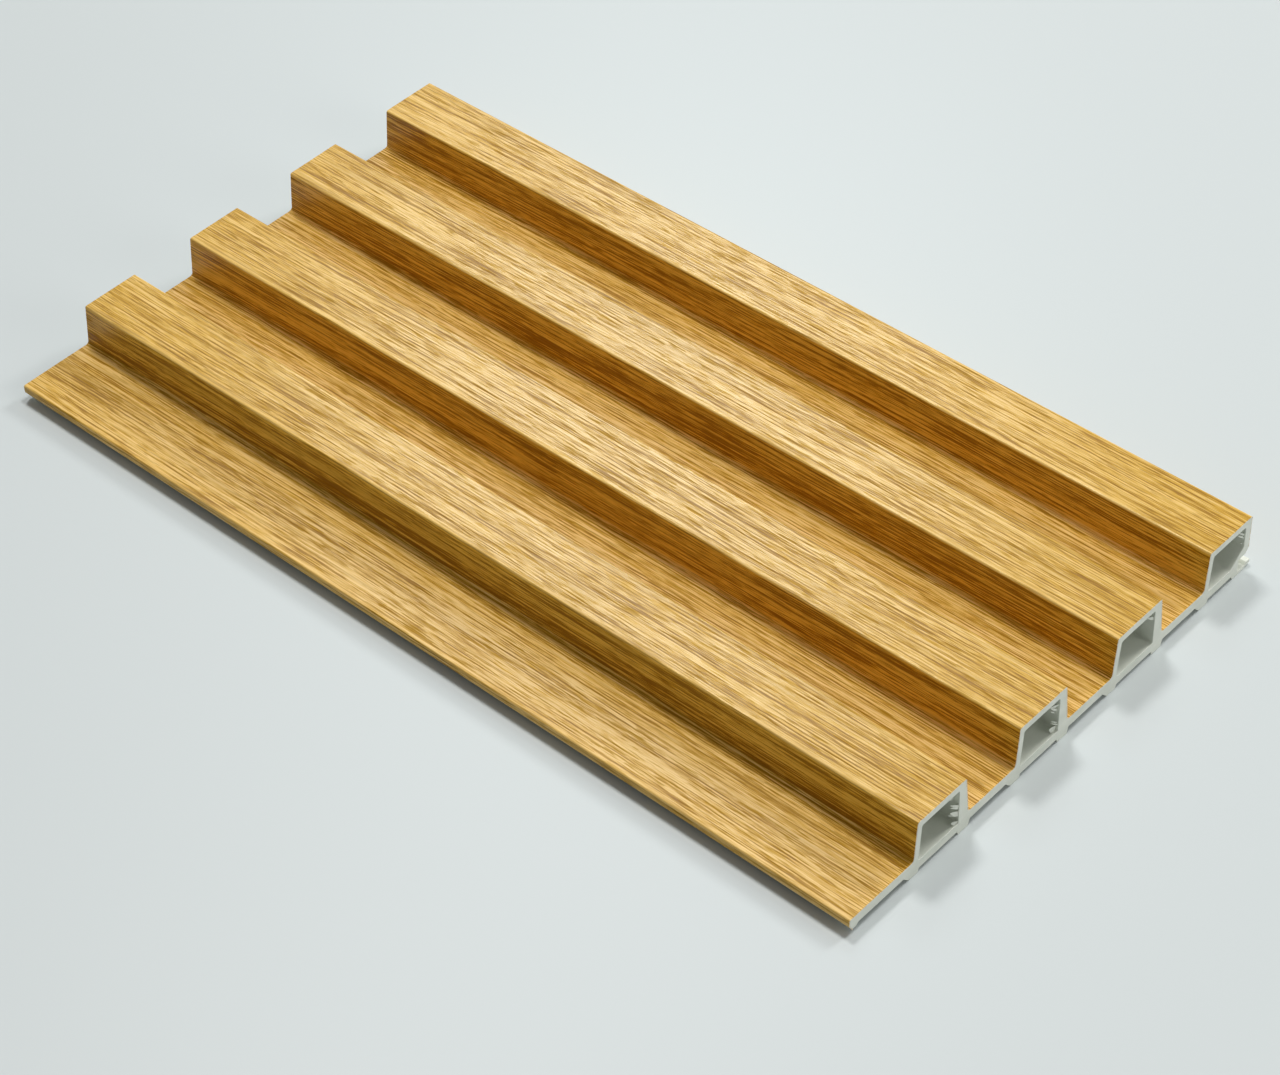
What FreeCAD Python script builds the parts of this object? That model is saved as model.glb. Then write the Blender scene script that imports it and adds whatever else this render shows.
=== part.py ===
import FreeCAD, Part
import os
import Sketcher

# Composite wall panel, a 300 mm length cut from hollow extruded board.
# The pale core has a thin base plate, four hollow ribs, feet along its back, a tongue
# along its front edge and a groove along its rear edge. A wood-grain film is laid over
# its face and turned over the tongue's edge.
# X runs along the board, Y across it from tongue to groove, Z up from the back face.

SIZES = {
    "panel_length": 300.0,
    "rib_count": 4,
    "rib_pitch": 40.0,
    "rib_top_width": 18.8,
    "rib_height": 12.75,
    "rib_draft": 1.25,
    "face_level": 5.3,
    "film": 0.2,
    "plate": 3.2,
    "rib_front_wall": 2.0,
    "rib_back_wall": 2.6,
    "rib_top_wall": 2.25,
    "rib_floor_wall": 2.9,
    "rib_edge_radius": 0.6,
    "rib_foot_radius": 1.1,
    "chamber_radius": 0.5,
    "front_foot_out": 3.0,
    "front_foot_in": 0.6,
    "front_foot_slope": 2.0,
    "back_foot_out": 1.4,
    "back_foot_slope": 0.6,
    "rib_recess": 1.2,
    "rib_recess_slope": 0.4,
    "tongue_reach": 4.15,
    "tongue_edge_face": 2.4,
    "tongue_edge_radius": 0.8,
    "tongue_bevel": 1.05,
    "bead_width": 1.5,
    "bead_depth": 0.8,
    "joint_side_clearance": 0.3,
    "joint_lap_clearance": 0.2,
    "groove_mouth_chamfer": 1.5,
    "groove_wall_rise": 1.7,
    "groove_wall_run": 3.7,
    "lip_reach": 1.1,
    "lip_tip_height": 1.0,
    "lip_slope": 2.9,
    "end_foot_width": 5.0,
}

doc = FreeCAD.newDocument("composite_wall_panel")
sheet = doc.addObject("Spreadsheet::Sheet", "sizes")
for row, (alias, value) in enumerate(SIZES.items(), start=1):
    sheet.set(f"A{row}", alias.replace("_", " "))
    sheet.set(f"B{row}", str(value))
    sheet.setAlias(f"B{row}", alias)
doc.recompute()

# Levels and distances that follow from the driving sizes, as expressions.
# Across is measured from the tongue's front edge, up from the back face.
rib_count = SIZES["rib_count"]
top_level = "(sizes.face_level + sizes.rib_height)"
valley_width = "(sizes.rib_pitch - sizes.rib_top_width)"
first_rib = f"({valley_width} + sizes.tongue_reach)"
rear_face = f"({first_rib} + (sizes.rib_count - 1) * sizes.rib_pitch + sizes.rib_top_width)"
overall_width = f"({rear_face} + sizes.lip_reach)"
plate_underside = "(sizes.face_level - sizes.plate)"
bead_underside = f"({plate_underside} - sizes.bead_depth)"
edge_face_foot = "(sizes.face_level - sizes.tongue_edge_face)"
lip_top = f"({plate_underside} - sizes.joint_lap_clearance)"
groove_floor = f"({bead_underside} - sizes.joint_lap_clearance)"
groove_top = "(sizes.face_level + sizes.joint_lap_clearance)"
groove_mouth = f"({groove_top} + sizes.groove_mouth_chamfer)"
groove_back = f"({rear_face} - sizes.tongue_reach - sizes.joint_side_clearance)"
bead_stop = (
    f"({rear_face} - sizes.tongue_reach + sizes.tongue_bevel + sizes.bead_width"
    " + sizes.joint_side_clearance)"
)
chamber_floor = "(sizes.rib_recess + sizes.rib_floor_wall)"
chamber_top = f"({top_level} - sizes.rib_top_wall)"

# The film keeps its thickness on leaning faces: these are its widths measured across.
rib_lean = "atan(sizes.rib_draft / sizes.rib_height)"
film_at_rib = f"(sizes.film * (1 - sin({rib_lean})) / cos({rib_lean}))"
bevel_drop = f"({edge_face_foot} - {bead_underside})"
bevel_lean = f"atan(sizes.tongue_bevel / {bevel_drop})"
film_at_bevel = f"(sizes.film / cos({bevel_lean}))"
film_above_bevel = f"(sizes.film * tan({bevel_lean} / 2))"


def rib_front(index):
    """Front top edge of one rib, measured across."""
    return f"({first_rib} + {index} * sizes.rib_pitch)"


def rib_back(index):
    """Back top edge of one rib, measured across."""
    return f"({rib_front(index)} + sizes.rib_top_width)"


def face_corners(inside_film):
    """Corners of the panel's face from the tongue's bead to the groove's mouth."""
    lap = 1 if inside_film else 0
    level = f"(sizes.face_level - {lap} * sizes.film)"
    crest = f"({top_level} - {lap} * sizes.film)"
    shift = f"{lap} * {film_at_rib}"
    corners = [
        (f"sizes.tongue_bevel + {lap} * {film_at_bevel}", bead_underside),
        (f"{lap} * sizes.film", f"{edge_face_foot} + {lap} * {film_above_bevel}"),
        (f"{lap} * sizes.film", level),
    ]
    for index in range(rib_count):
        corners.append((f"{rib_front(index)} - sizes.rib_draft + {shift}", level))
        corners.append((f"{rib_front(index)} + {shift}", crest))
        if index < rib_count - 1:
            corners.append((f"{rib_back(index)} - {shift}", crest))
            corners.append((f"{rib_back(index)} + sizes.rib_draft - {shift}", level))
    corners.append((f"{rear_face} - {lap} * sizes.film", crest))
    corners.append((f"{rear_face} - {lap} * sizes.film", groove_mouth))
    return corners


def groove_corners():
    """Corners of the rear groove and of the lip below it, down to the last foot."""
    ridge = f"{bead_stop} + sizes.bead_depth"
    return [
        (f"{rear_face} - sizes.groove_mouth_chamfer", groove_top),
        (groove_back, groove_top),
        (groove_back, groove_floor),
        (bead_stop, groove_floor),
        (ridge, lip_top),
        (overall_width, lip_top),
        (overall_width, f"{lip_top} - sizes.lip_tip_height"),
        (f"{overall_width} - sizes.lip_slope", "0"),
    ]


def underside_corners():
    """Corners of the feet and of the recesses between them, from rear to front."""
    corners = []
    for index in reversed(range(rib_count)):
        if index == rib_count - 1:
            recess_end = f"({overall_width} - sizes.lip_slope - sizes.end_foot_width)"
        else:
            recess_end = f"({rib_back(index)} - sizes.rib_back_wall)"
            back_foot = f"({rib_back(index)} + sizes.back_foot_out)"
            corners.append((f"{back_foot} + sizes.back_foot_slope", plate_underside))
            corners.append((back_foot, "0"))
        recess_start = f"({rib_front(index)} + sizes.front_foot_in)"
        front_foot = f"({rib_front(index)} - sizes.front_foot_out)"
        corners.append((recess_end, "0"))
        corners.append((f"{recess_end} - sizes.rib_recess_slope", "sizes.rib_recess"))
        corners.append((f"{recess_start} + sizes.rib_recess_slope", "sizes.rib_recess"))
        corners.append((recess_start, "0"))
        corners.append((front_foot, "0"))
        corners.append((f"{front_foot} - sizes.front_foot_slope", plate_underside))
    bead_end = "(sizes.tongue_bevel + sizes.bead_width)"
    corners.append((f"{bead_end} + sizes.bead_depth", plate_underside))
    corners.append((bead_end, bead_underside))
    return corners


def chamber_corners(index):
    """Corners of the hollow in one rib: its front side leans with the rib's wall."""
    lean_below_top = "sizes.rib_draft * sizes.rib_top_wall / sizes.rib_height"
    lean_at_floor = f"sizes.rib_draft * ({top_level} - {chamber_floor}) / sizes.rib_height"
    front = f"{rib_front(index)} + sizes.rib_front_wall"
    back = f"{rib_back(index)} - sizes.rib_back_wall"
    corners = [
        (f"{front} - {lean_at_floor}", chamber_floor),
        (f"{front} - {lean_below_top}", chamber_top),
        (back, chamber_top),
    ]
    if index == rib_count - 1:
        corners.append((back, f"{groove_mouth} + sizes.groove_wall_rise"))
        corners.append((f"{groove_back} - sizes.groove_wall_run", chamber_floor))
    else:
        corners.append((back, chamber_floor))
    return corners


def new_body(label):
    """Body of one sub-part, set so that the panel is centred on the origin."""
    body = doc.addObject("PartDesign::Body", label)
    body.Label = label
    body.setExpression("Placement.Base.y", f"-{overall_width} / 2")
    return body


def cross_section(body, name, corners):
    """Sketch across the board: a closed straight-sided loop through the given corners."""
    sketch = body.newObject("Sketcher::SketchObject", name)
    plane = [item for item in body.Origin.OriginFeatures if item.Role == "YZ_Plane"][0]
    sketch.AttachmentSupport = [(plane, "")]
    sketch.MapMode = "FlatFace"
    points = [
        FreeCAD.Vector(float(sheet.evalExpression(across)), float(sheet.evalExpression(up)), 0)
        for across, up in corners
    ]
    for index, point in enumerate(points):
        following = points[(index + 1) % len(points)]
        sketch.addGeometry(Part.LineSegment(point, following), False)
    for index in range(len(points)):
        following = (index + 1) % len(points)
        sketch.addConstraint(Sketcher.Constraint("Coincident", index, 2, following, 1))
    for index, (across, up) in enumerate(corners):
        for kind, value, expression in (
            ("DistanceX", points[index].x, across),
            ("DistanceY", points[index].y, up),
        ):
            number = sketch.addConstraint(Sketcher.Constraint(kind, -1, 1, index, 1, value))
            sketch.setExpression(f"Constraints[{number}]", expression)
    return sketch


def extrude(body, sketch):
    """Pad a section to the panel's length, half to each side of the middle."""
    pad = body.newObject("PartDesign::Pad", "extrusion")
    pad.Profile = sketch
    pad.SideType = "Symmetric"
    pad.setExpression("Length", "sizes.panel_length")


def hollow(body, sketch):
    """Cut a section right through the panel's length."""
    pocket = body.newObject("PartDesign::Pocket", "hollow")
    pocket.Profile = sketch
    pocket.SideType = "Symmetric"
    pocket.Type = "ThroughAll"
    return pocket


def lengthwise_edges(shape, corners):
    """Names of the edges that run along the board through the given corners."""
    tolerance = 0.001
    names = []
    for across, up in corners:
        y = float(sheet.evalExpression(across))
        z = float(sheet.evalExpression(up))
        for number, edge in enumerate(shape.Edges, start=1):
            ends = (edge.firstVertex().Point, edge.lastVertex().Point)
            seated = all(abs(end.y - y) < tolerance and abs(end.z - z) < tolerance for end in ends)
            if seated and abs(ends[0].x - ends[1].x) > tolerance:
                names.append(f"Edge{number}")
    if len(names) != len(corners):
        raise ValueError(f"{len(names)} of {len(corners)} lengthwise edges found")
    return names


def round_edges(body, corners, radius):
    """Round the lengthwise edges at the given corners, all to one radius."""
    doc.recompute()
    base = body.Tip
    fillet = body.newObject("PartDesign::Fillet", "rounding")
    fillet.Base = (base, lengthwise_edges(base.Shape, corners))
    fillet.setExpression("Radius", radius)


def crest_corners(inside_film):
    """Top corners of the ribs, among the face's corners."""
    top = face_corners(inside_film)
    return [top[3 + 4 * index + side] for index in range(rib_count) for side in (1, 2)]


def foot_corners(inside_film):
    """Corners between the ribs' walls and the face of the plate."""
    top = face_corners(inside_film)
    feet = [top[3]]
    for index in range(1, rib_count):
        feet.append(top[3 + 4 * index - 1])
        feet.append(top[3 + 4 * index])
    return feet


def make_core():
    """Hollow core: the extruded section, with a chamber through each rib."""
    body = new_body("hollow_core")
    outline = face_corners(True) + groove_corners() + underside_corners()
    extrude(body, cross_section(body, "core_section", outline))
    chamber = hollow(body, cross_section(body, "chamber_section", chamber_corners(0)))
    row = body.newObject("PartDesign::LinearPattern", "chamber_row")
    row.Originals = [chamber]
    across = [item for item in body.Origin.OriginFeatures if item.Role == "Y_Axis"][0]
    row.Direction = (across, [""])
    row.setExpression("Length", "(sizes.rib_count - 2) * sizes.rib_pitch")
    row.setExpression("Occurrences", "sizes.rib_count - 1")
    body.Tip = row
    hollow(body, cross_section(body, "end_chamber_section", chamber_corners(rib_count - 1)))
    chambers = [corner for index in range(rib_count) for corner in chamber_corners(index)]
    round_edges(body, chambers, "sizes.chamber_radius")
    round_edges(body, crest_corners(True), "sizes.rib_edge_radius - sizes.film")
    round_edges(body, foot_corners(True), "sizes.rib_foot_radius + sizes.film")
    round_edges(body, [face_corners(True)[2]], "sizes.tongue_edge_radius - sizes.film")
    return body


def make_film():
    """Wood-grain film: one sheet laid over the face, the ribs and the tongue's edge."""
    body = new_body("wood_grain_film")
    outline = face_corners(False) + list(reversed(face_corners(True)))
    extrude(body, cross_section(body, "film_section", outline))
    round_edges(body, crest_corners(False), "sizes.rib_edge_radius")
    round_edges(body, crest_corners(True), "sizes.rib_edge_radius - sizes.film")
    round_edges(body, foot_corners(False), "sizes.rib_foot_radius")
    round_edges(body, foot_corners(True), "sizes.rib_foot_radius + sizes.film")
    round_edges(body, [face_corners(False)[2]], "sizes.tongue_edge_radius")
    round_edges(body, [face_corners(True)[2]], "sizes.tongue_edge_radius - sizes.film")
    return body


bodies = [make_core(), make_film()]
doc.recompute()

for item in doc.Objects:
    if "Invalid" in item.State or "Error" in item.State:
        raise ValueError(f"{item.Label} could not be made: {item.State}")
for body in bodies:
    if body.Shape.isNull() or not body.Shape.isValid():
        raise ValueError(f"{body.Label} has no valid shape")

os.makedirs("parts", exist_ok=True)
for body in bodies:
    body.Shape.exportStep(f"parts/{body.Label}.step")
    box = body.Shape.BoundBox
    print(
        body.Label,
        f"volume {body.Shape.Volume / 1000:.2f} cm3,",
        f"X {box.XMin:.2f} to {box.XMax:.2f},",
        f"Y {box.YMin:.2f} to {box.YMax:.2f},",
        f"Z {box.ZMin:.2f} to {box.ZMax:.2f}",
    )
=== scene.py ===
import math
import random

import bmesh
import bpy
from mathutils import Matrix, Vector, noise
from mathutils.geometry import delaunay_2d_cdt


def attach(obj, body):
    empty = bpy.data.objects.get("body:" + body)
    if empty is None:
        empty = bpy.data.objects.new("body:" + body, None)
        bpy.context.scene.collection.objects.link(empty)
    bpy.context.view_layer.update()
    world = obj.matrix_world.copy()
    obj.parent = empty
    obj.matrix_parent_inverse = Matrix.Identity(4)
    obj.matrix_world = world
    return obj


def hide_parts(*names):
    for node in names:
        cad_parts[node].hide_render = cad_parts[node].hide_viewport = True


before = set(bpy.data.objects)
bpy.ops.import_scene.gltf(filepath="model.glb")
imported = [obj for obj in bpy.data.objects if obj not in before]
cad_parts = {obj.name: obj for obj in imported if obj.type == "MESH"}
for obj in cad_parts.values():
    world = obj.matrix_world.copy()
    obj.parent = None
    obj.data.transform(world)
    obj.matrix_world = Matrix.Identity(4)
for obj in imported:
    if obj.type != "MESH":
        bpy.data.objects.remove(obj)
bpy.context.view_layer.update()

# Hollow core
# A length of rigid foamed composite, drawn through a die in one piece: thin base plate,
# four hollow ribs, feet along the back, tongue along the front edge, groove along the
# rear edge. It was sawn to length, so both ends are plain cut faces.

mm = 0.001
board_length = 300 * mm
face_level = 5.3 * mm
rib_top = 18.05 * mm
film_thickness = 0.2 * mm
tongue_edge = -82.625 * mm
first_rib = -57.275 * mm
rib_pitch = 40 * mm
rib_width = 18.8 * mm
rib_draft = 1.25 * mm
rib_count = 4
front_wall = 2.0 * mm
back_wall = 2.6 * mm
rear_face = first_rib + (rib_count - 1) * rib_pitch + rib_width
lip_edge = 82.625 * mm


def face_line(step):
    """Points along the film's outside from tongue bead to groove mouth, each with its outward
    normal and the distance run along the film. Corners are rounded and flats cut into steps."""
    bead_inset, bead_under, bead_level = 1.05 * mm, 1.3 * mm, 2.9 * mm
    bead_radius, tongue_radius = 0.3 * mm, 0.5 * mm
    foot_radius, rim_radius = 1.1 * mm, 0.6 * mm
    groove_mouth = 7.0 * mm
    corners = [
        (tongue_edge + bead_inset, bead_under, 0.0),
        (tongue_edge, bead_level, bead_radius),
        (tongue_edge, face_level, tongue_radius),
    ]
    for rib in range(rib_count):
        front = first_rib + rib * rib_pitch
        back = front + rib_width
        corners.append((front - rib_draft, face_level, foot_radius))
        corners.append((front, rib_top, rim_radius))
        corners.append((back, rib_top, rim_radius))
        if rib < rib_count - 1:
            corners.append((back + rib_draft, face_level, foot_radius))
    corners.append((rear_face, groove_mouth, 0.0))

    line = []
    spots = [Vector((across, up)) for across, up, _ in corners]
    start = spots[0]
    for index in range(1, len(spots)):
        heading = (spots[index] - spots[index - 1]).normalized()
        normal = Vector((-heading.y, heading.x))
        if index < len(spots) - 1:
            following = (spots[index + 1] - spots[index]).normalized()
            turn = math.atan2(heading.cross(following), heading.dot(following))
            radius = corners[index][2]
            stop = spots[index] - heading * radius * math.tan(abs(turn) / 2)
        else:
            turn, stop = 0.0, spots[index]
        pieces = max(1, round((stop - start).length / step))
        for part in range(pieces):
            line.append((start.lerp(stop, part / pieces), normal.copy()))
        if turn:
            side = 1 if turn > 0 else -1
            centre = stop + normal * radius * side
            bends = 8
            for part in range(bends):
                angle = turn * part / bends
                swung = Vector((
                    normal.x * math.cos(angle) - normal.y * math.sin(angle),
                    normal.x * math.sin(angle) + normal.y * math.cos(angle),
                ))
                line.append((centre - swung * radius * side, swung))
            start = spots[index] + following * radius * math.tan(abs(turn) / 2)
        else:
            line.append((stop, normal.copy()))
    run = 0.0
    walked = []
    for place, normal in line:
        if walked:
            run += (place - walked[-1][0]).length
        walked.append((place, normal, run))
    return walked


def under_film(line):
    """The same line one film thickness in, cut level at the tongue and at the groove."""
    inside = [place - normal * film_thickness for place, normal, _ in line]
    slope = (line[1][0] - line[0][0]).normalized()
    inside[0] = inside[0] + slope * ((line[0][0].y - inside[0].y) / slope.y)
    return inside


def softened(corners, radius, bends):
    """A closed outline with each sharp corner turned through a small radius."""
    rounded = []
    count = len(corners)
    for index in range(count):
        here = corners[index]
        back = corners[index - 1] - here
        ahead = corners[(index + 1) % count] - here
        reach = min(radius, back.length * 0.4, ahead.length * 0.4)
        first = here + back.normalized() * reach
        last = here + ahead.normalized() * reach
        for part in range(bends + 1):
            share = part / bends
            rounded.append(
                first * (1 - share) ** 2 + here * 2 * share * (1 - share) + last * share ** 2
            )
    return rounded


def core_outline():
    """Outside of the core: under the film, then the groove, lip, feet and recesses."""
    face = under_film(face_line(0.8 * mm))
    plate_under = 2.1 * mm
    mouth_slope, groove_roof, groove_back = 1.5 * mm, 5.5 * mm, 77.075 * mm
    ledge_level, ledge_edge, lip_foot = 1.1 * mm, 80.225 * mm, 81.025 * mm
    lip_level, lip_under, lip_slope = 1.9 * mm, 0.9 * mm, 2.9 * mm
    rear_foot = 7.9 * mm
    foot_ahead, foot_ahead_flare = 3.0 * mm, 5.0 * mm
    foot_behind, foot_behind_flare = 1.4 * mm, 2.0 * mm
    recess_level, recess_slope, recess_inset = 1.2 * mm, 0.4 * mm, 0.6 * mm
    bead_foot, bead_flare, bead_under = 2.55 * mm, 3.35 * mm, 1.3 * mm
    below = [
        (rear_face - mouth_slope, groove_roof),
        (groove_back, groove_roof),
        (groove_back, ledge_level),
        (ledge_edge, ledge_level),
        (lip_foot, lip_level),
        (lip_edge, lip_level),
        (lip_edge, lip_under),
        (lip_edge - lip_slope, 0.0),
    ]
    for rib in reversed(range(rib_count)):
        front = first_rib + rib * rib_pitch
        if rib == rib_count - 1:
            recess_end = lip_edge - rear_foot
        else:
            back = front + rib_width
            recess_end = back - back_wall
            below.append((back + foot_behind_flare, plate_under))
            below.append((back + foot_behind, 0.0))
        below += [
            (recess_end, 0.0),
            (recess_end - recess_slope, recess_level),
            (front + recess_inset + recess_slope, recess_level),
            (front + recess_inset, 0.0),
            (front - foot_ahead, 0.0),
            (front - foot_ahead_flare, plate_under),
        ]
    below += [
        (tongue_edge + bead_flare, plate_under),
        (tongue_edge + bead_foot, bead_under),
    ]
    below = [Vector(spot) for spot in below]
    bends = 3
    eased = softened([face[-1]] + below + [face[0]], 0.18 * mm, bends)
    return face + eased[bends + 1:-bends - 1]


def chamber_outline(rib):
    """Inside of one hollow rib. The last is cut back at its foot to clear the groove."""
    front = first_rib + rib * rib_pitch + front_wall
    back = first_rib + rib * rib_pitch + rib_width - back_wall
    floor, roof = 4.1 * mm, 15.8 * mm
    cut_level, cut_foot = 8.7 * mm, 73.375 * mm
    lean = rib_draft / (rib_top - face_level)
    corners = [
        (front - lean * (rib_top - floor), floor),
        (front - lean * (rib_top - roof), roof),
        (back, roof),
    ]
    if rib == rib_count - 1:
        corners += [(back, cut_level), (cut_foot, floor)]
    else:
        corners.append((back, floor))
    return softened([Vector(spot) for spot in corners], 0.65 * mm, 5)


def cut_back(across, up, end):
    """How far the saw left this spot of the section short of the full length."""
    waviness, unevenness = 90, 0.06 * mm
    place = Vector((across * waviness, up * waviness, 7.0 * end))
    return unevenness * (1 + noise.noise(place))


def loop_normals(loop):
    """Outward normal at each point of a loop that runs with the solid on its right."""
    normals = []
    for index in range(len(loop)):
        along = (loop[(index + 1) % len(loop)] - loop[index - 1]).normalized()
        normals.append(Vector((-along.y, along.x)))
    return normals


def cut_texture(outline, chooser):
    """Points for a cut face, a little off a square grid and clear of the face's outline."""
    spacing, clear = 0.9 * mm, 0.35 * mm
    loose = []
    across = tongue_edge
    while across < lip_edge:
        up = 0.3 * mm
        while up < rib_top:
            loose.append(Vector((
                across + spacing * 0.3 * (chooser.random() - 0.5),
                up + spacing * 0.3 * (chooser.random() - 0.5),
            )))
            up += spacing
        across += spacing
    cells = {}
    for spot in outline:
        cells.setdefault((round(spot.x / spacing), round(spot.y / spacing)), []).append(spot)
    kept = []
    for spot in loose:
        column, level = round(spot.x / spacing), round(spot.y / spacing)
        close = [
            other
            for side in (-1, 0, 1) for rise in (-1, 0, 1)
            for other in cells.get((column + side, level + rise), [])
        ]
        if all((spot - other).length > clear for other in close):
            kept.append(spot)
    return kept


def in_section(spot, sides):
    """Whether a spot lies in the stock: it has an odd number of sides on its right."""
    crossed = sum(
        (first.y > spot.y) != (last.y > spot.y)
        and first.x + (last.x - first.x) * (spot.y - first.y) / (last.y - first.y) > spot.x
        for first, last in sides
    )
    return crossed % 2 == 1


def draw_core():
    loops = [core_outline()] + [chamber_outline(rib) for rib in range(rib_count)]
    for index in range(1, len(loops)):
        loops[index].reverse()
    rim, saw_mark, pitting = 0.1 * mm, 0.03 * mm, 0.015 * mm
    end_rows = 3
    half = board_length / 2
    stations = [-half, -half + rim, -half + 0.8 * mm]
    stations += [x * mm for x in range(-145, 146, 10)]
    stations += [half - 0.8 * mm, half - rim, half]
    verts, faces = [], []
    rings = []
    chooser = random.Random(31)
    for loop in loops:
        normals = loop_normals(loop)
        ring = []
        for number, x in enumerate(stations):
            from_end = min(number, len(stations) - 1 - number)
            row = []
            for spot, normal in zip(loop, normals):
                place = spot - normal * rim if from_end == 0 else spot
                end = 1 if x > 0 else -1
                short = cut_back(place.x, place.y, end) if from_end < end_rows else 0.0
                if 0 < from_end < end_rows:
                    short += saw_mark * chooser.random()
                row.append(len(verts))
                verts.append((x - end * short, place.x, place.y))
            ring.append(row)
        rings.append(ring)
        count = len(loop)
        for number in range(len(stations) - 1):
            for index in range(count):
                following = (index + 1) % count
                faces.append((
                    ring[number][index], ring[number][following],
                    ring[number + 1][following], ring[number + 1][index],
                ))
    for number, end in ((0, -1), (len(stations) - 1, 1)):
        flat, source, edges = [], [], []
        for ring in rings:
            row = ring[number]
            base = len(flat)
            for index, vertex in enumerate(row):
                flat.append(Vector(verts[vertex][1:]))
                source.append(vertex)
                edges.append((base + index, base + (index + 1) % len(row)))
        flat += cut_texture(flat, chooser)
        made, _, triangles, origins, _, _ = delaunay_2d_cdt(flat, edges, [], 0, 1e-9)
        sides = [(flat[first], flat[last]) for first, last in edges]
        index_of = [
            source[origin[0]] if origin and origin[0] < len(source) else None
            for origin in origins
        ]
        for corner in triangles:
            middle = (made[corner[0]] + made[corner[1]] + made[corner[2]]) / 3
            if not in_section(middle, sides):
                continue
            for which in corner:
                if index_of[which] is None:
                    spot = made[which]
                    bumpy = noise.noise(Vector((spot.x * 700, spot.y * 700, 0)))
                    short = cut_back(spot.x, spot.y, end) + pitting * (1 + bumpy)
                    index_of[which] = len(verts)
                    verts.append((end * (half - short), spot.x, spot.y))
            order = corner if end < 0 else tuple(reversed(corner))
            faces.append(tuple(index_of[spot] for spot in order))
    mesh = bpy.data.meshes.new("core_extrusion")
    mesh.from_pydata(verts, [], faces)
    mesh.validate()
    mesh.update()
    core = bpy.data.objects.new("core_extrusion", mesh)
    bpy.context.scene.collection.objects.link(core)
    for polygon in mesh.polygons:
        polygon.use_smooth = True
    mesh.set_sharp_from_angle(angle=math.radians(32))
    return core


core = draw_core()

# Chalky greyish composite, with fine closed cells and faint lines drawn along it by the die
foam = bpy.data.materials.new("pale_foamed_composite")
foam.use_nodes = True
nodes, links = foam.node_tree.nodes, foam.node_tree.links
shader = nodes["Principled BSDF"]
place = nodes.new("ShaderNodeTexCoord")
cloud = nodes.new("ShaderNodeTexNoise")
cloud.inputs["Scale"].default_value = 160
cloud.inputs["Detail"].default_value = 4
links.new(place.outputs["Object"], cloud.inputs["Vector"])
tone = nodes.new("ShaderNodeValToRGB")
tone.color_ramp.elements[0].position = 0.3
tone.color_ramp.elements[0].color = (0.67, 0.70, 0.61, 1)
tone.color_ramp.elements[1].position = 0.75
tone.color_ramp.elements[1].color = (0.77, 0.79, 0.70, 1)
links.new(cloud.outputs["Fac"], tone.inputs["Fac"])
links.new(tone.outputs["Color"], shader.inputs["Base Color"])
cells = nodes.new("ShaderNodeTexVoronoi")
cells.inputs["Scale"].default_value = 3200
links.new(place.outputs["Object"], cells.inputs["Vector"])
drawn = nodes.new("ShaderNodeMapping")
drawn.inputs["Scale"].default_value = (12, 900, 900)
links.new(place.outputs["Object"], drawn.inputs["Vector"])
die_lines = nodes.new("ShaderNodeTexNoise")
die_lines.inputs["Scale"].default_value = 1
die_lines.inputs["Detail"].default_value = 3
links.new(drawn.outputs["Vector"], die_lines.inputs["Vector"])
relief = nodes.new("ShaderNodeMix")
relief.inputs["Factor"].default_value = 0.4
links.new(die_lines.outputs["Fac"], relief.inputs["A"])
links.new(cells.outputs["Distance"], relief.inputs["B"])
bump = nodes.new("ShaderNodeBump")
bump.inputs["Distance"].default_value = 0.00005
bump.inputs["Strength"].default_value = 0.5
links.new(relief.outputs["Result"], bump.inputs["Height"])
links.new(bump.outputs["Normal"], shader.inputs["Normal"])
dull = nodes.new("ShaderNodeMapRange")
dull.inputs["To Min"].default_value = 0.5
dull.inputs["To Max"].default_value = 0.72
links.new(cloud.outputs["Fac"], dull.inputs["Value"])
links.new(dull.outputs["Result"], shader.inputs["Roughness"])
core.data.materials.append(foam)

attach(core, "root")
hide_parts("hollow_core")

# Wood-grain film
# A thin printed and lightly embossed film, satin finished, glued over the whole face in
# one width: it runs from under the tongue over every rib and down the rear face. The saw
# went through it with the core and left its ends slightly ragged.


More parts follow.
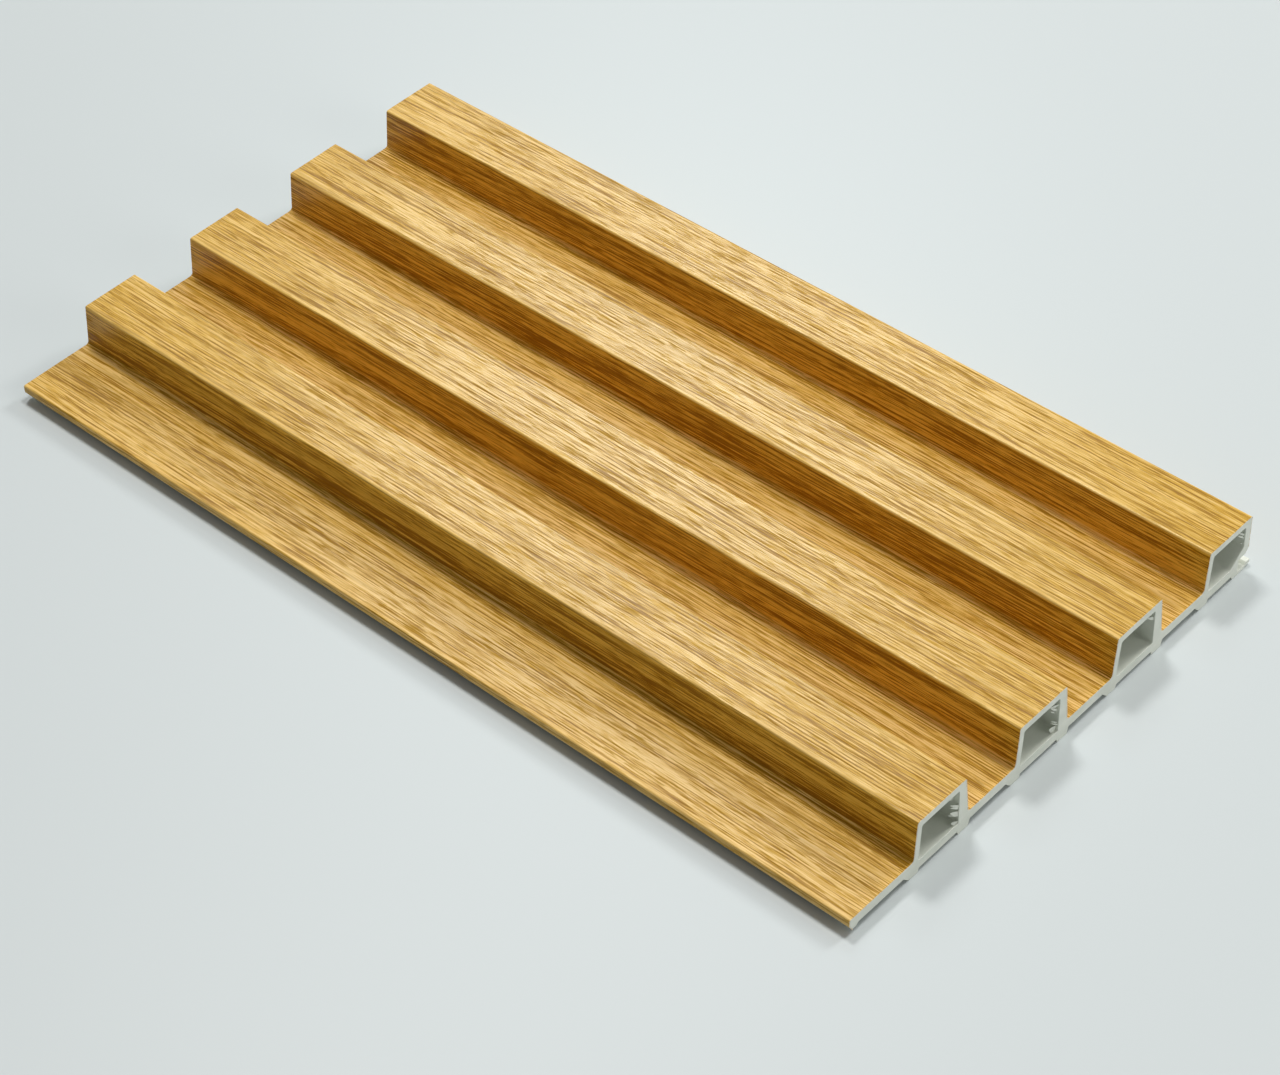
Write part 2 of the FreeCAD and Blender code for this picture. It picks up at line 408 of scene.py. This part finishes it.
def face_traits(line):
    """For each point of the line, the masks it carries for painted light and for roughness: how
    near it is to a rib's foot (painted light lifts the colour there, the gloss dulls), how
    steep it stands towards the tongue (painted shade), how deep it lies between the ribs (faint
    painted shade, duller gloss), and how near it is to a rib's front top edge (painted
    highlight)."""
    off_tongue = 5 * mm
    creases = [
        run for spot, normal, run in line
        if abs(spot.y - face_level) < 0.4 * mm and -0.9 < normal.x < -0.1
        and abs(spot.x - tongue_edge) > off_tongue
    ]
    rims = [
        line[index][2] for index in range(1, len(line))
        if line[index][1].y > 0.999 and line[index - 1][1].x < -0.05
    ]
    reach_up, reach_out, highlight_width = 0.8 * mm, 2.8 * mm, 0.9 * mm
    open_width = 20 * mm
    traits = {"foot_fold": [], "shaded_flank": [], "sunk": [], "rim_highlight": []}
    for spot, normal, run in line:
        on_wall = spot.y > face_level + 0.3 * mm
        nearest = min(abs(run - crease) for crease in creases)
        fold = max(0.0, 1 - nearest / (reach_up if on_wall else reach_out))
        faces_tongue = normal.x < 0 and spot.x > tongue_edge + off_tongue
        # Painted shade mask: faces turned towards the tongue, away from the lamps
        shaded_flank = 1 - min(1.0, max(0.0, normal.y) / 0.6) if faces_tongue else 0.0
        rise = min(1.0, max(0.0, (spot.y - face_level) / (rib_top - face_level)))
        open_side = min(1.0, max(0.0, (first_rib - spot.x) / open_width))
        past = min(abs(run - rim) for rim in rims)
        traits["foot_fold"].append(fold)
        traits["shaded_flank"].append(shaded_flank)
        # Painted shade mask: deeper between the ribs, less towards the open tongue side
        traits["sunk"].append((1 - rise) * (1 - 0.6 * open_side))
        # Painted highlight mask: the first millimetre or so behind each rib's front top edge
        traits["rim_highlight"].append(min(1.0, max(0.0, 1.4 - past / highlight_width)))
    return traits


def wrap_film():
    line = face_line(0.6 * mm)
    inside = under_film(line)
    half = board_length / 2
    end_rows, tear_depth = 3, 0.16 * mm
    stations = [-half, -half + 0.5 * mm, -half + 1.5 * mm]
    stations += [x * mm for x in range(-146, 147, 4)]
    stations += [half - 1.5 * mm, half - 0.5 * mm, half]
    verts, places, faces, cut_faces = [], [], [], []
    count = len(line)
    ring_size = 2 * count
    for number, x in enumerate(stations):
        from_end = min(number, len(stations) - 1 - number)
        end = 1 if x > 0 else -1
        for side in (0, 1):
            order = range(count) if side == 0 else reversed(range(count))
            for index in order:
                spot, _, run = line[index]
                across, up = (spot if side == 0 else inside[index])
                short = cut_back(across, up, end) if from_end < end_rows else 0.0
                if from_end == 0:
                    tear = 0.5 + 0.5 * noise.noise(Vector((run * 900, 3.0 * end, side * 0.3)))
                    short += tear_depth * tear ** 2
                verts.append((x - end * short, across, up))
                places.append((x - end * short, run, 0.0))
    for number in range(len(stations) - 1):
        base = number * ring_size
        for index in range(ring_size):
            following = (index + 1) % ring_size
            if index in (count - 1, ring_size - 1):
                cut_faces.append(len(faces))
            faces.append((
                base + index, base + following,
                base + ring_size + following, base + ring_size + index,
            ))
    for number in (0, len(stations) - 1):
        base = number * ring_size
        for index in range(count - 1):
            quad = (
                base + index, base + index + 1,
                base + ring_size - 2 - index, base + ring_size - 1 - index,
            )
            cut_faces.append(len(faces))
            faces.append(quad if number else tuple(reversed(quad)))
    mesh = bpy.data.meshes.new("grain_film")
    mesh.from_pydata(verts, [], faces)
    laid = mesh.attributes.new("print_place", "FLOAT_VECTOR", "POINT")
    laid.data.foreach_set("vector", [value for spot in places for value in spot])
    for name, values in face_traits(line).items():
        layer = mesh.attributes.new(name, "FLOAT", "POINT")
        layer.data.foreach_set("value", (values + values[::-1]) * len(stations))
    for number in cut_faces:
        mesh.polygons[number].material_index = 1
    mesh.validate()
    mesh.update()
    film = bpy.data.objects.new("grain_film", mesh)
    bpy.context.scene.collection.objects.link(film)
    for polygon in mesh.polygons:
        polygon.use_smooth = True
    mesh.set_sharp_from_angle(angle=math.radians(40))
    return film


film = wrap_film()

oak = bpy.data.materials.new("honey_oak_print")
oak.use_nodes = True
nodes, links = oak.node_tree.nodes, oak.node_tree.links
shader = nodes["Principled BSDF"]


def trait(name, kind="Fac"):
    """A value that the film's mesh carries at each point."""
    carried = nodes.new("ShaderNodeAttribute")
    carried.attribute_name = name
    return carried.outputs[kind]


def scaled(value, times, plus=0.0):
    """value x times + plus, where times and plus are numbers or other values."""
    step = nodes.new("ShaderNodeMath")
    step.operation = "MULTIPLY_ADD"
    for part, socket in zip((value, times, plus), step.inputs):
        if isinstance(part, float):
            socket.default_value = part
        else:
            links.new(part, socket)
    return step.outputs[0]


def grain_noise(source, along, around, detail, rough=0.5, offset=0.0):
    """Noise stretched to the given feature size, in millimetres along and across the grain."""
    stretch = nodes.new("ShaderNodeMapping")
    stretch.inputs["Scale"].default_value = (1000 / along, 1000 / around, 1)
    stretch.inputs["Location"].default_value = (offset, offset * 1.7, offset * 0.6)
    links.new(source, stretch.inputs["Vector"])
    texture = nodes.new("ShaderNodeTexNoise")
    texture.inputs["Scale"].default_value = 1
    texture.inputs["Detail"].default_value = detail
    texture.inputs["Roughness"].default_value = rough
    links.new(stretch.outputs["Vector"], texture.inputs["Vector"])
    return texture.outputs["Fac"]


def strayed(source, amount_from, reach):
    """Shifts the print sideways by a noise, so that its lines wander."""
    sideways = nodes.new("ShaderNodeCombineXYZ")
    links.new(scaled(amount_from, reach, -0.5 * reach), sideways.inputs["Y"])
    moved = nodes.new("ShaderNodeVectorMath")
    moved.operation = "ADD"
    links.new(source, moved.inputs[0])
    links.new(sideways.outputs[0], moved.inputs[1])
    return moved.outputs[0]


def between(value, low, high):
    """0 at low, 1 at high, smooth between. Low may be the greater of the two."""
    ranged = nodes.new("ShaderNodeMapRange")
    ranged.interpolation_type = "SMOOTHSTEP"
    ranged.inputs["From Min"].default_value = low
    ranged.inputs["From Max"].default_value = high
    links.new(value, ranged.inputs["Value"])
    return ranged.outputs["Result"]


def stained(under, colour, amount, blend="MIX"):
    """Lays one colour over another by the given amount."""
    mix = nodes.new("ShaderNodeMix")
    mix.data_type = "RGBA"
    mix.blend_type = blend
    links.new(under, mix.inputs["A"])
    mix.inputs["B"].default_value = colour
    links.new(amount, mix.inputs["Factor"])
    return mix.outputs["Result"]


def blended(first, first_share, second, second_share):
    """Two noises mixed about their middle value, each by its own share."""
    middle = 0.5 - 0.5 * (first_share + second_share)
    return scaled(second, second_share, scaled(first, first_share, middle))


print_place = trait("print_place", "Vector")
foot_fold = trait("foot_fold")
shaded_flank = trait("shaded_flank")
sunk = trait("sunk")
rim_highlight = trait("rim_highlight")

# The print: long lines of several widths. Painted shade: on the walls facing the tongue, longer
# and darker lines are mixed in
wide = strayed(print_place, grain_noise(print_place, 200, 40, 1), 0.0045)
wavy = strayed(wide, grain_noise(wide, 45, 6, 2, offset=5.0), 0.0005)
bands = grain_noise(wavy, 700, 5.2, 1, offset=2.0)
streaks = grain_noise(wavy, 430, 1.6, 3, rough=0.6, offset=7.0)
seams = grain_noise(wavy, 900, 2.6, 2, rough=0.55, offset=41.0)
fibres = grain_noise(wavy, 30, 0.46, 3, rough=0.7, offset=3.0)
specks = grain_noise(wavy, 6, 0.36, 2, rough=0.6, offset=17.0)
grain = blended(blended(bands, 0.12, streaks, 0.64), 1.0, fibres, 2.10)
grain = blended(grain, 1.0, specks, 0.75)
# Painted shade: extra dark line contrast, only for the walls facing the tongue
wall_lines_and_shade = scaled(blended(grain, 0.95, seams, 1.5), 1.0, -0.52)
tone = nodes.new("ShaderNodeValToRGB")
ramp = tone.color_ramp
ramp.elements[0].position = 0.26
ramp.elements[0].color = (0.31, 0.145, 0.002, 1)
ramp.elements[1].position = 0.80
ramp.elements[1].color = (0.83, 0.561, 0.190, 1)
for position, shade in (
    (0.36, (0.46, 0.239, 0.009, 1)),
    (0.43, (0.58, 0.324, 0.028, 1)),
    (0.50, (0.665, 0.393, 0.062, 1)),
    (0.58, (0.73, 0.463, 0.108, 1)),
):
    ramp.elements.new(position).color = shade
# Painted shade: the walls facing the tongue get their lines pushed darker
links.new(scaled(scaled(wall_lines_and_shade, shaded_flank), 1.2, grain), tone.inputs["Fac"])

# Growth rings and pores over it, then painted light: a highlight along the ribs' front top
# edges, deeper and warmer shade on the walls facing the tongue, a faint shade in the valleys,
# and a lift at the feet
waves = nodes.new("ShaderNodeMath")
waves.operation = "SINE"
links.new(scaled(grain_noise(wavy, 520, 11, 1, rough=0.4, offset=21.0), 95.0), waves.inputs[0])
ring_lines = between(waves.outputs[0], 0.0, 0.95)
ring_zones = between(grain_noise(wavy, 140, 7, 2, offset=23.0), 0.36, 0.60)
pores = between(grain_noise(wavy, 8, 0.40, 1, offset=11.0), 0.565, 0.610)
pore_zones = between(grain_noise(wavy, 90, 3.0, 1, offset=13.0), 0.26, 0.60)
# Painted highlight: a pale gold band along each rib's front top edge, broken up by a noise
rim_glint = scaled(rim_highlight, between(grain_noise(wavy, 24, 1.1, 2, offset=31.0), 0.30, 0.62))
late_wood, pore_brown = (0.38, 0.203, 0.007, 1), (0.30, 0.153, 0.003, 1)
glint_gold = (0.87, 0.575, 0.165, 1)
# Painted shade: tints for the walls facing the tongue and for the valleys
painted_wall_shade, painted_valley_shade = (1.05, 0.93, 0.30, 1), (0.99, 0.97, 0.98, 1)
colour = tone.outputs["Color"]
colour = stained(colour, late_wood, scaled(scaled(ring_lines, ring_zones), 0.33))
colour = stained(colour, pore_brown, scaled(scaled(pores, pore_zones), 0.55))
# Painted highlight on the front top edges
colour = stained(colour, glint_gold, scaled(rim_glint, 0.62))
# Painted shade: deeper, warmer colour on the walls facing the tongue
colour = stained(colour, painted_wall_shade, shaded_flank, "MULTIPLY")
# Painted shade: a faint darker, warmer tint deeper between the ribs
colour = stained(colour, painted_valley_shade, sunk, "MULTIPLY")
# Painted light: the colour lifted by up to a quarter near each rib's foot, to brighten the
# shaded crease
painted_foot_light = nodes.new("ShaderNodeVectorMath")
painted_foot_light.operation = "SCALE"
links.new(colour, painted_foot_light.inputs[0])
links.new(scaled(foot_fold, 0.24, 1.0), painted_foot_light.inputs["Scale"])
links.new(painted_foot_light.outputs[0], shader.inputs["Base Color"])

# The emboss, and a satin gloss that pores, dark lines, feet and valleys lack
emboss = nodes.new("ShaderNodeBump")
emboss.inputs["Distance"].default_value = 0.00006
emboss.inputs["Strength"].default_value = 0.16
links.new(scaled(grain, 2.0, scaled(pores, -1.0)), emboss.inputs["Height"])
links.new(emboss.outputs["Normal"], shader.inputs["Normal"])
matte = nodes.new("ShaderNodeMath")
matte.operation = "MAXIMUM"
links.new(pores, matte.inputs[0])
links.new(scaled(between(grain, 0.49, 0.36), 0.28), matte.inputs[1])
roughness = scaled(matte.outputs[0], 0.45, 0.25)
roughness = scaled(foot_fold, 0.25, roughness)
roughness = scaled(sunk, 0.20, roughness)
links.new(roughness, shader.inputs["Roughness"])
shader.inputs["Specular IOR Level"].default_value = 0.27
film.data.materials.append(oak)

# Where the film is cut through, its body shows paler than its print
cut_edge = bpy.data.materials.new("pale_cut_film")
cut_edge.use_nodes = True
nodes, links = cut_edge.node_tree.nodes, cut_edge.node_tree.links
shader = nodes["Principled BSDF"]
place = nodes.new("ShaderNodeTexCoord")
torn = nodes.new("ShaderNodeTexNoise")
torn.inputs["Scale"].default_value = 1400
torn.inputs["Detail"].default_value = 3
links.new(place.outputs["Object"], torn.inputs["Vector"])
fringe = nodes.new("ShaderNodeValToRGB")
fringe.color_ramp.elements[0].position = 0.35
fringe.color_ramp.elements[0].color = (0.62, 0.50, 0.33, 1)
fringe.color_ramp.elements[1].position = 0.6
fringe.color_ramp.elements[1].color = (0.82, 0.76, 0.64, 1)
links.new(torn.outputs["Fac"], fringe.inputs["Fac"])
links.new(fringe.outputs["Color"], shader.inputs["Base Color"])
rough_cut = nodes.new("ShaderNodeMapRange")
rough_cut.inputs["To Min"].default_value = 0.55
rough_cut.inputs["To Max"].default_value = 0.75
links.new(torn.outputs["Fac"], rough_cut.inputs["Value"])
links.new(rough_cut.outputs["Result"], shader.inputs["Roughness"])
fray = nodes.new("ShaderNodeBump")
fray.inputs["Distance"].default_value = 0.00004
fray.inputs["Strength"].default_value = 0.6
links.new(torn.outputs["Fac"], fray.inputs["Height"])
links.new(fray.outputs["Normal"], shader.inputs["Normal"])
film.data.materials.append(cut_edge)

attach(film, "root")
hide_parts("wood_grain_film")

# Saw burrs
# Slivers of the same composite that the saw tore up instead of cutting: they hang by their
# roots from the back walls of the chambers, some flush with the cut and some further in. A
# shred of film hangs at the tongue.


def flake(made, root, reach, width, curl, chooser):
    """A torn sliver: broad at its root, full in the middle, curling in to a ragged tip."""
    steps = 8
    full_thickness = 0.32 * mm
    rows = []
    side = Vector((0, reach.normalized().z, -reach.normalized().y))
    for step in range(steps + 1):
        share = step / steps
        half = width / 2 * (0.8 + 0.5 * math.sin(math.pi * share) - 0.6 * share ** 2)
        half *= 1 + 0.3 * (chooser.random() - 0.5)
        middle = root + reach * share + side * 0.15 * width * (chooser.random() - 0.5) * share
        middle = middle + Vector((-curl * share ** 2, 0, 0))
        thick = full_thickness * (1 - 0.5 * share) * (1 + 0.3 * (chooser.random() - 0.5))
        hollow = 0.35 * thick
        profile = [
            middle + side * half,
            middle + Vector((thick * 0.5 - hollow, 0, 0)) + side * half * 0.5,
            middle + Vector((thick * 0.5 - hollow * 2, 0, 0)),
            middle + Vector((thick * 0.5 - hollow, 0, 0)) - side * half * 0.5,
            middle - side * half,
            middle + Vector((-thick * 0.5, 0, 0)) - side * half * 0.5,
            middle + Vector((-thick * 0.6, 0, 0)),
            middle + Vector((-thick * 0.5, 0, 0)) + side * half * 0.5,
        ]
        rows.append([made.verts.new(spot) for spot in profile])
    corners = len(rows[0])
    for step in range(steps):
        for corner in range(corners):
            following = (corner + 1) % corners
            made.faces.new((
                rows[step][corner], rows[step][following],
                rows[step + 1][following], rows[step + 1][corner],
            ))
    made.faces.new(rows[0][::-1])
    made.faces.new(rows[-1])


def torn_edge(name, wall, flakes, skin):
    """One piece of several flakes, each rooted at the wall: height, run, rise, width, curl and
    depth behind the cut, in millimetres."""
    behind_cut, rooted = 0.25 * mm, 0.4 * mm
    joined = bmesh.new()
    chooser = random.Random(40)
    for up, run, rise, width, curl, deep in flakes:
        end = board_length / 2 - cut_back(wall, up * mm, 1) - behind_cut - deep * mm
        root = Vector((end, wall + rooted, up * mm))
        reach = Vector((0, run * mm, rise * mm))
        flake(joined, root, reach, width * mm, curl * mm, chooser)
    bmesh.ops.recalc_face_normals(joined, faces=joined.faces)
    mesh = bpy.data.meshes.new(name)
    joined.to_mesh(mesh)
    joined.free()
    piece = bpy.data.objects.new(name, mesh)
    bpy.context.scene.collection.objects.link(piece)
    for polygon in mesh.polygons:
        polygon.use_smooth = True
    soften = piece.modifiers.new("worn", "SUBSURF")
    soften.levels = 1
    soften.render_levels = 1
    mesh.materials.append(skin)
    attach(piece, "root")


first_wall = first_rib + rib_width - back_wall
torn_edge("rib_1_burrs", first_wall, [
    (13.5, -2.2, 0.7, 0.7, 0.3, 1.1),
    (12.6, -3.0, 1.5, 0.9, 0.4, 1.5),
    (11.4, -3.0, 1.9, 0.9, 0.5, 1.6),
    (9.9, -3.2, 2.4, 0.6, 0.5, 0.0),
    (9.1, -2.9, 2.1, 0.7, 0.4, 0.1),
    (7.0, -3.0, 2.3, 1.5, 0.5, 0.0),
    (5.4, -2.2, 1.6, 0.7, 0.4, 1.4),
    (3.6, -2.5, 1.7, 1.6, 0.5, 0.0),
], foam)
torn_edge("rib_2_burrs", first_wall + rib_pitch, [
    (12.9, -2.9, 1.0, 0.7, 0.4, 0.3),
    (11.8, -3.0, 1.7, 0.6, 0.5, 0.8),
    (10.9, -2.4, 1.9, 0.7, 0.5, 0.5),
    (9.6, -2.0, 1.6, 0.5, 0.4, 1.0),
    (6.6, -2.7, 2.2, 0.35, 0.4, 0.2),
    (6.0, -3.0, 2.4, 0.35, 0.5, 0.0),
    (4.0, -2.8, 1.9, 2.2, 0.3, 0.5),
], foam)
torn_edge("rib_3_burrs", first_wall + 2 * rib_pitch, [
    (12.5, -2.4, 1.6, 0.9, 0.5, 0.2),
    (13.5, -1.4, 0.7, 0.5, 0.3, 0.7),
], foam)
torn_edge("rib_4_burrs", first_wall + 3 * rib_pitch, [
    (12.6, -2.6, 2.2, 0.6, 0.5, 0.1),
    (11.5, -2.6, 2.3, 0.5, 0.6, 0.2),
    (13.6, -1.6, 0.8, 0.6, 0.4, 1.4),
    (9.4, -0.9, 0.6, 0.5, 0.3, 0.3),
], foam)
tongue_tip = tongue_edge + 0.75 * mm
torn_edge("tongue_shred", tongue_tip, [
    (3.0, 0.3, -2.6, 0.9, 0.1, -0.1),
    (2.4, 0.9, -1.7, 0.6, 0.4, 0.1),
], cut_edge)

# Floor
# A smooth pale sheet that the panel lies on, faintly glossy, wider than the view.

floor_reach, floor_level = 4, -0.00002
floor_mesh = bpy.data.meshes.new("studio_floor")
floor_mesh.from_pydata(
    [(x * floor_reach, y * floor_reach, floor_level)
     for x, y in ((-1, -1), (1, -1), (1, 1), (-1, 1))],
    [], [(0, 1, 2, 3)],
)
floor = bpy.data.objects.new("studio_floor", floor_mesh)
bpy.context.scene.collection.objects.link(floor)
sheet = bpy.data.materials.new("pale_floor_sheet")
sheet.use_nodes = True
sheet_shader = sheet.node_tree.nodes["Principled BSDF"]
sheet_shader.inputs["Base Color"].default_value = (0.598, 0.642, 0.638, 1)
sheet_shader.inputs["Roughness"].default_value = 0.4
sheet_shader.inputs["Specular IOR Level"].default_value = 0.3
floor.data.materials.append(sheet)

# Lamps
# Two soft lamps high behind the panel, a lower one further back, a fill at the sawn end, and
# one that only shows in the film's gloss.


def soft_lamp(name, place, width, depth, power, colour):
    lamp = bpy.data.lights.new(name, "AREA")
    lamp.shape = "ELLIPSE"
    lamp.size = width
    lamp.size_y = depth
    lamp.energy = power
    lamp.color = colour
    holder = bpy.data.objects.new(name, lamp)
    holder.location = place
    holder.rotation_euler = (-Vector(place)).to_track_quat("-Z", "Y").to_euler()
    bpy.context.scene.collection.objects.link(holder)
    return holder


soft_lamp("main_lamp", (0.20, 0.555, 2.0), 0.40, 0.40, 13.7, (1, 1, 1))
soft_lamp("second_lamp", (-0.93, 0.57, 2.1), 0.65, 0.42, 20.3, (1, 1, 1))
soft_lamp("rear_lamp", (0.50, 1.95, 1.45), 0.6, 0.6, 17.8, (1, 1, 1))
soft_lamp("end_lamp", (1.2, 0.3, 0.45), 0.8, 0.8, 3.2, (1, 1, 1))
gloss = soft_lamp("gloss_lamp", (-0.54, 0.60, 0.733), 0.42, 0.34, 3.7, (0.86, 0.97, 1))
gloss.visible_diffuse = False

world = bpy.data.worlds.new("studio_air")
world.use_nodes = True
world.node_tree.nodes["Background"].inputs["Color"].default_value = (1, 1, 1, 1)
world.node_tree.nodes["Background"].inputs["Strength"].default_value = 0.237
bpy.context.scene.world = world

# Camera
# Stands off the near end and the tongue side, looking down along the ribs.

camera_data = bpy.data.cameras.new("viewpoint")
camera_data.lens = 92.28
camera_data.sensor_width = 36
camera = bpy.data.objects.new("viewpoint", camera_data)
camera.location = (0.46074, -0.47172, 0.60459)
camera.rotation_euler = tuple(math.radians(angle) for angle in (46.409, 1.895, 42.016))
bpy.context.scene.collection.objects.link(camera)
bpy.context.scene.camera = camera
bpy.context.scene.view_settings.view_transform = "Standard"
